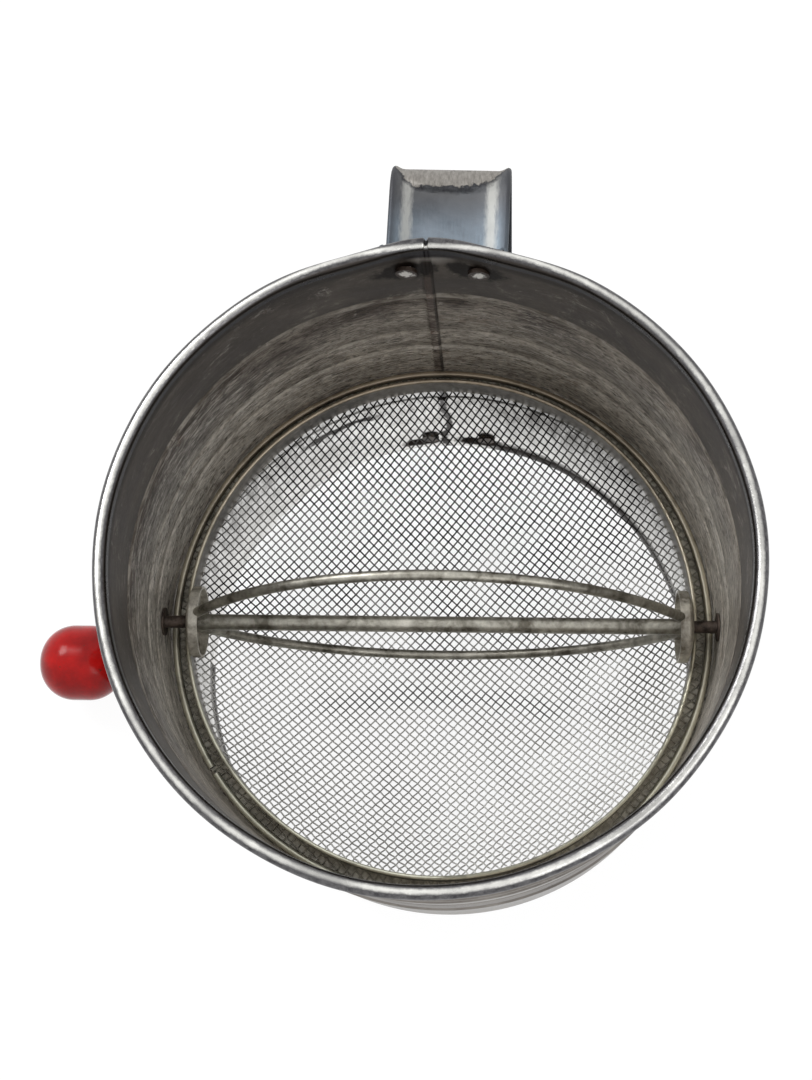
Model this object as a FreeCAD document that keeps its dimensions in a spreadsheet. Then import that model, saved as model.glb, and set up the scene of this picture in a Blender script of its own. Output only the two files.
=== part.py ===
import FreeCAD, Part
import math
import os
import re
import Sketcher

doc = FreeCAD.newDocument("flour_sifter")
sheet = doc.addObject("Spreadsheet::Sheet", "Sizes")

# Driving sizes in millimetres and degrees, each with a word name
SIZES = {
    "can_radius": 67.5,
    "can_height": 132,
    "wall": 0.5,
    "rim_bead": 3.0,
    "hem_height": 5,
    "hem_thickness": 1.1,
    "rib_height": 2.4,
    "rib_rise": 0.6,
    "upper_rib_drop": 23,
    "middle_rib_drop": 45,
    "lower_rib_drop": 55,
    "foot_rib": 40,
    "seat_height": 2.4,
    "seat_rise": 1.1,
    "seam_width": 4,
    "seam_thickness": 0.3,
    "seam_shift": 1,
    "screen_height": 60,
    "cloth": 0.9,
    "flange_width": 6.8,
    "bowl_depth": 30,
    "flange_gap": 0.6,
    "ring_step": 2.0,
    "inner_ring_band": 1.0,
    "inner_ring_height": 7,
    "outer_ring_wire": 1.8,
    "outer_ring_split": 1.8,
    "rod": 3.0,
    "fit": 0.06,
    "tube_wall": 0.45,
    "ring_clearance": 1.35,
    "shaft_forward": 2,
    "eyelet_wall": 0.6,
    "eyelet_lip": 1.24,
    "eyelet_sheet": 0.4,
    "washer_band": 2.44,
    "washer": 0.8,
    "play": 0.15,
    "collar_step": 0.9,
    "collar": 1.0,
    "arm_gap": 7.5,
    "arm_lean": 8,
    "crank_drop": 56,
    "bend": 5,
    "knob_offset": 6.5,
    "knob_diameter": 20.7,
    "knob_length": 23,
    "knob_round": 9.5,
    "knob_recess": 2.6,
    "knob_recess_gap": 0.6,
    "knob_washer_band": 1.84,
    "knob_washer": 0.6,
    "cup_radius": 8.65,
    "cup_depth": 2.6,
    "cup_sheet": 0.8,
    "cup_gap": 0.8,
    "hoop_wire": 2.4,
    "hoop_clearance": 2.1,
    "slot_step": 1.25,
    "slot_play": 0.1,
    "upper_lean": 5,
    "lower_lean": 0.5,
    "strap": 0.7,
    "strap_width": 28,
    "strap_gap": 0.05,
    "edge_roll": 1.3,
    "handle_turn": 1.7,
    "handle_depth": 31.5,
    "handle_drop": 1,
    "handle_bottom": 2.5,
    "upper_leg_drop": 21.5,
    "lower_leg": 20.5,
    "root_bend": 8,
    "corner_bend": 8,
    "rivet_spacing": 16,
    "upper_rivet_drop": 8.7,
    "lower_rivet_rise": 3.6,
    "rivet_shank": 1.6,
    "rivet_head": 3.2,
    "rivet_dome": 1.2,
    "clinch_radius": 2.4,
    "clinch": 0.9,
}
for row, (word, size) in enumerate(SIZES.items(), start=1):
    sheet.set(f"A{row}", word)
    sheet.set(f"B{row}", str(size))
    sheet.setAlias(f"B{row}", word)
doc.recompute()

# Lengths that follow from the driving sizes
INNER = "(can_radius - wall)"
BEAD = "(rim_bead / 2)"
CURL_R = f"({INNER} + {BEAD})"
CURL_Z = f"(can_height - {BEAD})"
CURL_INSIDE = f"({BEAD} - wall)"
RIB_ARC = "((rib_height ^ 2 / 4 + rib_rise ^ 2) / (2 * rib_rise))"
SEAT_ARC = "((seat_height ^ 2 / 4 + seat_rise ^ 2) / (2 * seat_rise))"
SEAT_TOP = "(screen_height - cloth)"
BOWL = f"({INNER} - flange_width)"
BOWL_ARC = f"(({BOWL} ^ 2 + bowl_depth ^ 2) / (2 * bowl_depth))"
FLANGE = f"({INNER} - flange_gap)"
RING = f"({BOWL} + ring_step)"
TUBE = "(rod / 2 + tube_wall)"
SHAFT_RISE = f"(inner_ring_height + ring_clearance + {TUBE})"
SHAFT_Z = f"(screen_height + {SHAFT_RISE})"
BORE = "(rod / 2 + fit)"
COLLAR = "(rod / 2 + collar_step)"
WASHER = f"({BORE} + washer_band)"
EYELET = f"({BORE} + eyelet_wall + eyelet_lip)"
EYELET_IN = f"(sqrt({INNER} ^ 2 - (shaft_forward + {EYELET}) ^ 2) - 0.05)"
EYELET_OUT = "(can_radius + 0.05)"
OUTER_FACE = f"({EYELET_OUT} + eyelet_sheet + play)"
STOP = f"({OUTER_FACE} + washer + play)"
ARM_TOP = "(can_radius + arm_gap)"
ARM_END = "(can_radius + arm_gap + arm_lean)"
KNOB_IN = f"({ARM_END} + knob_offset)"
KNOB_OUT = f"({KNOB_IN} + knob_length)"
RECESS = f"({KNOB_OUT} - knob_recess)"
KNOB_WASHER = f"({BORE} + knob_washer_band)"
RECESS_RADIUS = f"({KNOB_WASHER} + knob_recess_gap)"
PIN_END = f"({RECESS} + knob_washer + 2 * play + collar)"
CUP_X = f"({RING} - inner_ring_band - cup_gap - cup_depth)"
CUP_ARC = "((cup_radius ^ 2 + cup_depth ^ 2) / (2 * cup_depth))"
HOOP_X = f"({CUP_X} + cup_depth - cup_sheet)"
SLOT = f"({TUBE} + slot_step)"
HOOP_END = f"({SLOT} + hoop_wire / 2)"
HOOP_TOP = f"({SHAFT_RISE} + bowl_depth - hoop_clearance - hoop_wire / 2)"
HOOP_RISE = f"({HOOP_TOP} - {HOOP_END})"
HOOP_ARC = f"(({HOOP_X} ^ 2 + {HOOP_RISE} ^ 2) / (2 * {HOOP_RISE}))"
UPPER_RIB = "(can_height - upper_rib_drop)"
MIDDLE_RIB = "(can_height - middle_rib_drop)"
LOWER_RIB = "(can_height - lower_rib_drop)"
RIVET_Z = {"upper": "(can_height - upper_rivet_drop)", "lower": "(hem_height + lower_rivet_rise)"}
HANDLE_TOP = "(can_height - rim_bead - handle_drop)"
UPPER_LEG = "(can_height - upper_leg_drop)"
HANDLE_REACH = "(can_radius + handle_depth)"
STRAP_Y = "(can_radius + strap_gap + strap / 2)"
STRAP_FACE = "(can_radius + strap_gap + strap)"
CLINCH_Y = f"(sqrt({INNER} ^ 2 - (rivet_spacing / 2 + clinch_radius) ^ 2) - 0.05)"


def link(text):
    """Turn a formula of size names into an expression on the sheet's cells."""
    def cell(found):
        word = found.group(0)
        return "Sizes." + word if word in SIZES else word
    return re.sub(r"[a-z_]+", cell, str(text))


def value(text):
    """Work out a formula of size names."""
    result = sheet.evalExpression(link(text))
    return float(getattr(result, "Value", result))


def bind(thing, name, text):
    """Bind one property of an object to a formula."""
    thing.setExpression(name, link(text))


def place(thing, x="0", y="0", z="0"):
    """Bind the position of an object to three formulas."""
    for axis, text in zip("xyz", (x, y, z)):
        if text != "0":
            bind(thing, "Placement.Base." + axis, text)


def turn(thing, axis, angle):
    """Bind the rotation of an object about one axis to a formula in degrees."""
    thing.Placement.Rotation = FreeCAD.Rotation(axis, value(angle))
    if not re.fullmatch(r"-?[0-9]+", angle):
        first = FreeCAD.Rotation(axis, 1).Axis
        sign = "" if first.dot(axis) > 0 else "-"
        bind(thing, "Placement.Rotation.Angle", f"{sign}({angle})")


X_AXIS = FreeCAD.Vector(1, 0, 0)
Y_AXIS = FreeCAD.Vector(0, 1, 0)
Z_AXIS = FreeCAD.Vector(0, 0, 1)


def new_body(name):
    """Start one sub-part."""
    body = doc.addObject("PartDesign::Body", name)
    body.Label = name
    return body


def sketch_on(body, role, name, offset="0"):
    """Start a sketch on a plane of the body, moved along its normal."""
    sketch = body.newObject("Sketcher::SketchObject", f"{body.Name}_{name}")
    plane = next(item for item in body.Origin.OriginFeatures if item.Role == role)
    sketch.AttachmentSupport = [(plane, "")]
    sketch.MapMode = "FlatFace"
    if offset != "0":
        side = "-" if role == "XZ_Plane" else ""
        bind(sketch, "AttachmentOffset.Base.z", f"{side}({offset})")
    return sketch


def hold(sketch, geometry, point, across, up):
    """Hold one point of a sketch at two formulas."""
    for kind, text, axis in (("DistanceX", across, -2), ("DistanceY", up, -1)):
        if text == "0":
            sketch.addConstraint(Sketcher.Constraint("PointOnObject", geometry, point, axis))
            continue
        size = value(text)
        index = sketch.addConstraint(Sketcher.Constraint(kind, -1, 1, geometry, point, size))
        bind(sketch, f"Constraints[{index}]", text)


def bowed(start, end, radius, side):
    """An arc between two points, its centre on the left or right of the way."""
    chord = end - start
    left = FreeCAD.Vector(-chord.y, chord.x, 0).normalize()
    if side == "right":
        left = -left
    reach = math.sqrt(max(radius ** 2 - chord.Length ** 2 / 4, 0))
    centre = (start + end) / 2 + left * reach
    return Part.Arc(start, centre - left * radius, end)


def draw(sketch, corners, closed=True):
    """Draw an outline through corners given as pairs of formulas.

    A corner with a radius and a side starts an arc, any other corner starts a line.
    """
    points = [FreeCAD.Vector(value(corner[0]), value(corner[1]), 0) for corner in corners]
    count = len(corners) if closed else len(corners) - 1
    starts = []
    ends = []
    for number in range(count):
        start = points[number]
        end = points[(number + 1) % len(points)]
        corner = corners[number]
        clockwise = False
        if len(corner) == 2:
            edge = sketch.addGeometry(Part.LineSegment(start, end))
        else:
            clockwise = corner[3] == "right"
            edge = sketch.addGeometry(bowed(start, end, value(corner[2]), corner[3]))
        starts.append((edge, 2 if clockwise else 1))
        ends.append((edge, 1 if clockwise else 2))
    for number in range(count if closed else count - 1):
        following = starts[(number + 1) % count]
        sketch.addConstraint(Sketcher.Constraint("Coincident", *ends[number], *following))
    for number in range(count):
        hold(sketch, *starts[number], corners[number][0], corners[number][1])
    if not closed:
        hold(sketch, *ends[-1], corners[-1][0], corners[-1][1])
    for number in range(count):
        if len(corners[number]) == 4:
            radius = corners[number][2]
            edge = starts[number][0]
            index = sketch.addConstraint(Sketcher.Constraint("Radius", edge, value(radius)))
            bind(sketch, f"Constraints[{index}]", radius)
    doc.recompute()


def circle(sketch, across, up, radius):
    """Draw one circle held at its centre."""
    centre = FreeCAD.Vector(value(across), value(up), 0)
    edge = sketch.addGeometry(Part.Circle(centre, Z_AXIS, value(radius)))
    hold(sketch, edge, 3, across, up)
    index = sketch.addConstraint(Sketcher.Constraint("Radius", edge, value(radius)))
    bind(sketch, f"Constraints[{index}]", radius)
    doc.recompute()


def revolve(body, sketch, axis):
    """Turn a sketch a full turn about its own axis."""
    solid = body.newObject("PartDesign::Revolution", f"{sketch.Name}_turned")
    solid.Profile = sketch
    solid.ReferenceAxis = (sketch, [axis])
    solid.Angle = 360
    doc.recompute()
    return solid


def pad(body, sketch, length):
    """Raise a sketch by a length."""
    solid = body.newObject("PartDesign::Pad", f"{sketch.Name}_raised")
    solid.Profile = sketch
    bind(solid, "Length", length)
    doc.recompute()
    return solid


def bore(body, role, name, radius):
    """Cut a round hole through the whole body on the body's own axis."""
    sketch = sketch_on(body, role, name)
    circle(sketch, "0", "0", radius)
    hole = body.newObject("PartDesign::Pocket", f"{sketch.Name}_cut")
    hole.Profile = sketch
    hole.Type = 1
    hole.Midplane = True
    doc.recompute()
    return hole


def sweep(body, profile, path):
    """Carry a sketch along an open path."""
    pipe = body.newObject("PartDesign::AdditivePipe", f"{path.Name}_swept")
    pipe.Profile = profile
    pipe.Spine = (path, [f"Edge{number + 1}" for number in range(path.GeometryCount)])
    doc.recompute()
    return pipe


def disc(body, name, offset, length, radius, up="0"):
    """Add a short round collar along X, starting at the offset."""
    sketch = sketch_on(body, "YZ_Plane", name, offset)
    circle(sketch, "0", up, radius)
    return pad(body, sketch, length)


def cylinder(name, radius, length):
    """A plain round cutter."""
    tool = doc.addObject("Part::Cylinder", name)
    bind(tool, "Radius", radius)
    bind(tool, "Height", length)
    return tool


def cut(name, base, tool):
    """Cut one shape out of another."""
    result = doc.addObject("Part::Cut", name)
    result.Label = name
    result.Base = base
    result.Tool = tool
    doc.recompute()
    return result


def group(name, members):
    """Keep several solids as one sub-part."""
    result = doc.addObject("Part::Compound", name)
    result.Label = name
    result.Links = members
    doc.recompute()
    return result


def rib_up(radius, middle, rise, arc, height, sides):
    """One rolled rib of the wall's outline, drawn from its lower end."""
    low = f"({middle} - {height} / 2)"
    high = f"({middle} + {height} / 2)"
    crest = f"({radius} + {rise})"
    return [(radius, low, arc, sides), (crest, middle, arc, sides), (radius, high)]


def wall_side(radius, seat_middle):
    """One side of the wall from the foot to the rim, its ribs in order of height."""
    inward = "(0 - seat_rise)"
    ribs = [(seat_middle, (inward, SEAT_ARC, "seat_height", "right"))]
    for middle in ("foot_rib", LOWER_RIB, MIDDLE_RIB, UPPER_RIB):
        ribs.append((middle, ("rib_rise", RIB_ARC, "rib_height", "left")))
    ribs.sort(key=lambda rib: value(rib[0]))
    corners = []
    for middle, shape in ribs:
        corners += rib_up(radius, middle, *shape)
    return corners


def turned_back(corners):
    """The same corners in the other direction, arcs kept with their edges."""
    backward = []
    other = {"left": "right", "right": "left"}
    for number in range(len(corners) - 1, -1, -1):
        corner = corners[number][:2]
        before = corners[number - 1] if number else ()
        if len(before) == 4:
            corner = corner + (before[2], other[before[3]])
        backward.append(corner)
    return backward


def make_can(rivet_holes):
    """The rolled can: hem, ribs, screen seat, open curl at the rim, lapped seam."""
    shell = new_body("can_shell")
    outline = sketch_on(shell, "XZ_Plane", "outline")
    seat_middle = f"({SEAT_TOP} - seat_height / 2)"
    step = "(hem_thickness - wall)"
    hem = "(can_radius - hem_thickness)"
    corners = [("can_radius", "0"), (hem, "0"), (hem, "hem_height")]
    corners += [(INNER, f"hem_height + {step}")]
    corners += wall_side(INNER, seat_middle)
    corners += [
        (INNER, CURL_Z, BEAD, "right"),
        (CURL_R, f"({CURL_Z} + {BEAD})", BEAD, "right"),
        (f"({CURL_R} + {BEAD})", CURL_Z, BEAD, "right"),
        (CURL_R, f"({CURL_Z} - {BEAD})"),
        (CURL_R, f"({CURL_Z} - {CURL_INSIDE})", CURL_INSIDE, "left"),
        (f"({CURL_R} + {CURL_INSIDE})", CURL_Z, CURL_INSIDE, "left"),
        (CURL_R, f"({CURL_Z} + {CURL_INSIDE})", CURL_INSIDE, "left"),
        ("can_radius", CURL_Z),
    ]
    corners += turned_back(wall_side("can_radius", seat_middle))
    draw(outline, corners)
    revolve(shell, outline, "V_Axis")
    seam = sketch_on(shell, "XY_Plane", "seam", f"hem_height + {step}")
    left = "(0 - seam_shift - seam_width / 2)"
    right = "(0 - seam_shift + seam_width / 2)"
    near = f"({INNER} - seam_thickness)"
    far = f"({INNER} + wall / 2)"
    draw(seam, [(left, near), (right, near), (right, far), (left, far)])
    pad(shell, seam, f"can_height - rim_bead - hem_height - {step}")
    shaft_hole = cylinder("shaft_hole", f"{BORE} + eyelet_wall + fit", "2 * can_radius + 20")
    shaft_hole.Placement.Rotation = FreeCAD.Rotation(Y_AXIS, 90)
    place(shaft_hole, "0 - can_radius - 10", "0 - shaft_forward", SHAFT_Z)
    pierced = cut("pierced_can", shell, shaft_hole)
    return cut("can_body", pierced, rivet_holes)


def make_rim_wire():
    """The wire the rim is rolled over."""
    ring = doc.addObject("Part::Torus", "rim_wire")
    bind(ring, "Radius1", CURL_R)
    bind(ring, "Radius2", f"{CURL_INSIDE} - 0.3")
    place(ring, z=CURL_Z)
    return ring


def make_rivet_holes():
    """Cutters for the four handle rivets, turned with the handle."""
    tools = []
    for level in ("upper", "lower"):
        for side in ("left", "right"):
            tool = cylinder(f"{level}_{side}_hole", "rivet_shank + 0.1", "20")
            tool.Placement.Rotation = FreeCAD.Rotation(X_AXIS, -90)
            sign = "0 - " if side == "left" else ""
            place(tool, f"{sign}rivet_spacing / 2", "can_radius - 10", RIVET_Z[level])
            tools.append(tool)
    holes = group("rivet_holes", tools)
    turn(holes, Z_AXIS, "0 - handle_turn")
    return holes


def make_rivets(level):
    """Two rivets: domed head outside, shank, clinched end inside."""
    members = []
    for side in ("left", "right"):
        rivet = new_body(f"{level}_{side}_rivet")
        outline = sketch_on(rivet, "XZ_Plane", "outline")
        dome = "((rivet_head ^ 2 + rivet_dome ^ 2) / (2 * rivet_dome))"
        foot = f"({CLINCH_Y} - clinch)"
        face = f"({STRAP_FACE} + 0.02)"
        draw(outline, [
            ("0", foot), ("clinch_radius", foot), ("clinch_radius", CLINCH_Y),
            ("rivet_shank", CLINCH_Y), ("rivet_shank", face),
            ("rivet_head", face, dome, "left"), ("0", f"({face} + rivet_dome)")])
        revolve(rivet, outline, "V_Axis")
        rivet.Placement.Rotation = FreeCAD.Rotation(X_AXIS, -90)
        sign = "0 - " if side == "left" else ""
        place(rivet, f"{sign}rivet_spacing / 2", "0", RIVET_Z[level])
        members.append(rivet)
    rivets = group(f"{level}_handle_rivets", members)
    turn(rivets, Z_AXIS, "0 - handle_turn")
    return rivets


def make_handle(rivet_holes):
    """The strap handle: a D-shaped bend of sheet with both edges rolled."""
    strap = new_body("strap_blank")
    path = sketch_on(strap, "YZ_Plane", "path")
    out = f"({HANDLE_REACH} - corner_bend)"
    root = f"({STRAP_Y} + root_bend)"
    draw(path, [
        (STRAP_Y, HANDLE_TOP),
        (STRAP_Y, f"{UPPER_LEG} + root_bend", "root_bend", "left"),
        (root, UPPER_LEG),
        (out, UPPER_LEG, "corner_bend", "right"),
        (HANDLE_REACH, f"{UPPER_LEG} - corner_bend"),
        (HANDLE_REACH, "lower_leg + corner_bend", "corner_bend", "right"),
        (out, "lower_leg"),
        (root, "lower_leg", "root_bend", "left"),
        (STRAP_Y, "lower_leg - root_bend"),
        (STRAP_Y, "handle_bottom")], closed=False)
    section = sketch_on(strap, "XY_Plane", "section", HANDLE_TOP)
    centre = "(strap_width / 2 - edge_roll)"
    inside = "(strap_width / 2 - 2 * edge_roll)"
    meet = f"({centre} - sqrt(edge_roll ^ 2 - (edge_roll - strap) ^ 2))"
    back = "(can_radius + strap_gap)"
    middle = f"({back} + edge_roll)"
    crest = f"({back} + 2 * edge_roll)"
    draw(section, [
        (f"0 - {centre}", back),
        (centre, back, "edge_roll", "left"),
        ("strap_width / 2", middle, "edge_roll", "left"),
        (centre, crest, "edge_roll", "left"),
        (inside, middle, "edge_roll", "left"),
        (meet, STRAP_FACE),
        (f"0 - {meet}", STRAP_FACE, "edge_roll", "left"),
        (f"0 - {inside}", middle, "edge_roll", "left"),
        (f"0 - {centre}", crest, "edge_roll", "left"),
        ("0 - strap_width / 2", middle, "edge_roll", "left")])
    sweep(strap, section, path)
    turn(strap, Z_AXIS, "0 - handle_turn")
    return cut("handle_strap", strap, rivet_holes)


def make_screen():
    """The sieve cloth: a round bowl with a flat edge under the two rings."""
    screen = new_body("screen_cloth")
    outline = sketch_on(screen, "XZ_Plane", "outline")
    under = f"({BOWL_ARC} + cloth)"
    centre = f"(screen_height - bowl_depth + {BOWL_ARC})"
    meet = f"sqrt({under} ^ 2 - ({centre} - {SEAT_TOP}) ^ 2)"
    draw(outline, [
        ("0", "screen_height - bowl_depth", BOWL_ARC, "left"),
        (BOWL, "screen_height"),
        (FLANGE, "screen_height"),
        (FLANGE, SEAT_TOP),
        (meet, SEAT_TOP, under, "right"),
        ("0", "screen_height - bowl_depth - cloth")])
    revolve(screen, outline, "V_Axis")
    return screen


def make_inner_ring():
    """The upright band that presses the cloth into its bowl."""
    ring = new_body("screen_inner_ring")
    outline = sketch_on(ring, "XZ_Plane", "outline")
    inside = f"({RING} - inner_ring_band)"
    middle = f"({RING} - inner_ring_band / 2)"
    top = "(screen_height + inner_ring_height)"
    shoulder = f"({top} - inner_ring_band / 2)"
    draw(outline, [
        (inside, "screen_height"),
        (RING, "screen_height"),
        (RING, shoulder, "inner_ring_band / 2", "left"),
        (middle, top, "inner_ring_band / 2", "left"),
        (inside, shoulder)])
    revolve(ring, outline, "V_Axis")
    return ring


def make_outer_ring():
    """The split wire ring that holds the cloth's edge on its seat."""
    ring = doc.addObject("Part::Torus", "screen_outer_ring")
    radius = f"({INNER} - 0.5 - outer_ring_wire / 2)"
    bind(ring, "Radius1", radius)
    bind(ring, "Radius2", "outer_ring_wire / 2")
    bind(ring, "Angle3", f"360 deg - 2 * asin(outer_ring_split / 2 / {radius})")
    ring.Placement.Rotation = FreeCAD.Rotation(Z_AXIS, 215)
    place(ring, z="screen_height + outer_ring_wire / 2 + 0.02")
    return ring


def make_eyelet(name, angle):
    """One bearing eyelet, its two flanges on both faces of the wall."""
    eyelet = new_body(name)
    outline = sketch_on(eyelet, "XZ_Plane", "outline")
    tube = f"({BORE} + eyelet_wall)"
    first = f"({EYELET_IN} - eyelet_sheet)"
    last = f"({EYELET_OUT} + eyelet_sheet)"
    draw(outline, [
        (BORE, first), (EYELET, first), (EYELET, EYELET_IN),
        (tube, EYELET_IN), (tube, EYELET_OUT), (EYELET, EYELET_OUT),
        (EYELET, last), (BORE, last)])
    revolve(eyelet, outline, "V_Axis")
    eyelet.Placement.Rotation = FreeCAD.Rotation(Y_AXIS, angle)
    place(eyelet, "0", "0 - shaft_forward", SHAFT_Z)
    return eyelet


def make_crank():
    """The bent rod: shaft, arm and pin, with its stop collars and headed ends."""
    crank = new_body("crank_rod")
    path = sketch_on(crank, "XZ_Plane", "path")
    right = f"({STOP} + collar)"
    arm = "sqrt(arm_lean ^ 2 + crank_drop ^ 2)"
    # The way from a bend's corner to where the bend starts
    trim = f"(bend * ({arm} - arm_lean) / crank_drop)"
    along_x = f"({trim} * arm_lean / {arm})"
    along_z = f"({trim} * crank_drop / {arm})"
    draw(path, [
        (right, "0"),
        (f"0 - {ARM_TOP} + {trim}", "0", "bend", "left"),
        (f"0 - {ARM_TOP} - {along_x}", f"0 - {along_z}"),
        (f"0 - {ARM_END} + {along_x}", f"0 - crank_drop + {along_z}", "bend", "right"),
        (f"0 - {ARM_END} - {trim}", "0 - crank_drop"),
        (f"0 - {PIN_END}", "0 - crank_drop")], closed=False)
    section = sketch_on(crank, "YZ_Plane", "section", right)
    circle(section, "0", "0", "rod / 2")
    sweep(crank, section, path)
    disc(crank, "head", STOP, "collar", COLLAR)
    disc(crank, "collar", f"0 - {STOP} - collar", "collar", COLLAR)
    stop = f"0 - {KNOB_IN} + play"
    disc(crank, "knob_stop", stop, "collar", COLLAR, "0 - crank_drop")
    disc(crank, "pin_head", f"0 - {PIN_END}", "collar", COLLAR, "0 - crank_drop")
    place(crank, "0", "0 - shaft_forward", SHAFT_Z)
    return crank


def make_washer(name, start, length, radius, hole, z):
    """One flat washer across the X axis."""
    washer = new_body(name)
    disc(washer, "face", start, length, radius)
    bore(washer, "YZ_Plane", "hole", hole)
    place(washer, "0", "0 - shaft_forward", z)
    return washer


def make_cup(name, angle):
    """One dished end cup of the agitator, slotted for the two hoops."""
    dish = new_body(name + "_dish")
    outline = sketch_on(dish, "XZ_Plane", "outline")
    inside = f"({CUP_ARC} - cup_sheet)"
    lip = f"sqrt({inside} ^ 2 - ({CUP_ARC} - cup_depth) ^ 2)"
    draw(outline, [
        ("0", "cup_depth - cup_sheet", inside, "right"),
        (lip, "0"),
        ("cup_radius", "0", CUP_ARC, "left"),
        ("0", "cup_depth")])
    revolve(dish, outline, "V_Axis")
    bore(dish, "XY_Plane", "hole", "rod / 2 + fit / 2")
    dish.Placement.Rotation = FreeCAD.Rotation(Y_AXIS, angle)
    sign = "0 - " if angle < 0 else ""
    place(dish, f"{sign}{CUP_X}", "0 - shaft_forward", SHAFT_Z)
    slots = []
    for hoop, lean in (("upper", "0 - upper_lean"), ("lower", "180 - lower_lean")):
        slot = doc.addObject("Part::Box", f"{name}_{hoop}_slot")
        width = "(hoop_wire + 2 * slot_play)"
        bind(slot, "Length", "20")
        bind(slot, "Width", width)
        bind(slot, "Height", "cup_radius")
        slot.Placement.Base = FreeCAD.Vector(-10, 0, 0)
        place(slot, y=f"0 - {width} / 2", z=SLOT)
        holder = group(f"{name}_{hoop}_cutter", [slot])
        turn(holder, X_AXIS, lean)
        place(holder, f"{sign}{CUP_X}", "0 - shaft_forward", SHAFT_Z)
        slots.append(holder)
    return cut(name, cut(name + "_half", dish, slots[0]), slots[1])


def make_hoop(name, lean):
    """One agitator wire, bowed between the two end cups."""
    hoop = new_body(name)
    path = sketch_on(hoop, "XZ_Plane", "path")
    draw(path, [
        (HOOP_X, HOOP_END, HOOP_ARC, "left"),
        ("0", HOOP_TOP, HOOP_ARC, "left"),
        (f"0 - {HOOP_X}", HOOP_END)], closed=False)
    section = sketch_on(hoop, "YZ_Plane", "section")
    circle(section, "0", HOOP_TOP, "hoop_wire / 2")
    sweep(hoop, section, path)
    turn(hoop, X_AXIS, lean)
    place(hoop, "0", "0 - shaft_forward", SHAFT_Z)
    return hoop


def make_tube():
    """The spacer tube on the shaft between the two cups."""
    tube = new_body("agitator_tube")
    half = f"({CUP_X} + cup_depth - cup_sheet - 0.25)"
    disc(tube, "face", f"0 - {half}", f"2 * {half}", TUBE)
    bore(tube, "YZ_Plane", "hole", "rod / 2 + fit / 2")
    place(tube, "0", "0 - shaft_forward", SHAFT_Z)
    return tube


def make_knob():
    """The ball-like wooden knob, bored for the pin and recessed for its washer."""
    knob = new_body("knob")
    outline = sketch_on(knob, "XZ_Plane", "outline")
    inner = f"(0 - {KNOB_IN})"
    outer = f"(0 - {KNOB_OUT})"
    hole = f"({BORE} + 0.02)"
    half = "(knob_diameter / 2)"
    low = f"({half} - knob_round)"
    recess_reach = f"sqrt(knob_round ^ 2 - ({RECESS_RADIUS} - {low}) ^ 2)"
    hole_reach = f"sqrt(knob_round ^ 2 - ({hole} - {low}) ^ 2)"
    outer_edge = f"({outer} + knob_round - {recess_reach})"
    inner_edge = f"({inner} - knob_round + {hole_reach})"
    draw(outline, [
        (f"(0 - {RECESS})", hole),
        (f"(0 - {RECESS})", RECESS_RADIUS),
        (outer_edge, RECESS_RADIUS, "knob_round", "right"),
        (f"({outer} + knob_round)", half),
        (f"({inner} - knob_round)", half, "knob_round", "right"),
        (inner_edge, hole)])
    revolve(knob, outline, "H_Axis")
    place(knob, "0", "0 - shaft_forward", f"{SHAFT_Z} - crank_drop")
    return knob


holes = make_rivet_holes()
KEPT = [
    make_can(holes),
    make_rim_wire(),
    make_handle(holes),
    make_rivets("upper"),
    make_rivets("lower"),
    make_screen(),
    make_inner_ring(),
    make_outer_ring(),
    make_eyelet("left_eyelet", -90),
    make_eyelet("right_eyelet", 90),
    make_crank(),
    make_washer("crank_washer", f"0 - {OUTER_FACE} - washer", "washer", WASHER, BORE, SHAFT_Z),
    make_washer("end_washer", OUTER_FACE, "washer", WASHER, BORE, SHAFT_Z),
    make_tube(),
    make_cup("left_end_cup", -90),
    make_cup("right_end_cup", 90),
    make_hoop("upper_hoop", "0 - upper_lean"),
    make_hoop("lower_hoop", "180 - lower_lean"),
    make_knob(),
    make_washer("knob_washer", f"0 - {RECESS} - knob_washer - play", "knob_washer",
                KNOB_WASHER, BORE, f"{SHAFT_Z} - crank_drop"),
]
doc.recompute()

# Every object must be sound before anything is written
for item in doc.Objects:
    if "Invalid" in item.State or "Error" in item.State:
        raise RuntimeError(f"{item.Name} did not build")
for part in KEPT:
    if part.Shape.isNull() or not part.Shape.isValid():
        raise RuntimeError(f"{part.Name} has no sound shape")

os.makedirs("parts", exist_ok=True)
for part in KEPT:
    part.Shape.exportStep(f"parts/{part.Label}.step")
    box = part.Shape.BoundBox
    print(part.Label, len(part.Shape.Solids), round(part.Shape.Volume, 1),
          [round(edge, 2) for edge in (box.XMin, box.XMax, box.YMin, box.YMax, box.ZMin, box.ZMax)])
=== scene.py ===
import math
import bmesh
import bpy
import numpy as np
from mathutils import Matrix, Vector


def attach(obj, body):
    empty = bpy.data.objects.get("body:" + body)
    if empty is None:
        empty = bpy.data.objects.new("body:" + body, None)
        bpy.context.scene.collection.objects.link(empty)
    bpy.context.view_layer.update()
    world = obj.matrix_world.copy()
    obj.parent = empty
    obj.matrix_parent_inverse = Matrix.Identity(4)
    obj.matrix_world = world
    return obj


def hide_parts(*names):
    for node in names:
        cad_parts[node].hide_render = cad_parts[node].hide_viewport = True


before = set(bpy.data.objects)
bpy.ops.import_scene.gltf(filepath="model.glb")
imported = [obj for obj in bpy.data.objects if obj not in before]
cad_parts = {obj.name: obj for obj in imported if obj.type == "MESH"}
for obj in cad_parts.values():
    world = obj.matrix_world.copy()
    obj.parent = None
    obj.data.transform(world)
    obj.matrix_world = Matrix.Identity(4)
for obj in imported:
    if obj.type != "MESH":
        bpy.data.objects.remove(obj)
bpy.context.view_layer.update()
MM = 0.001
WHITE = (1, 1, 1, 1)

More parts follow.
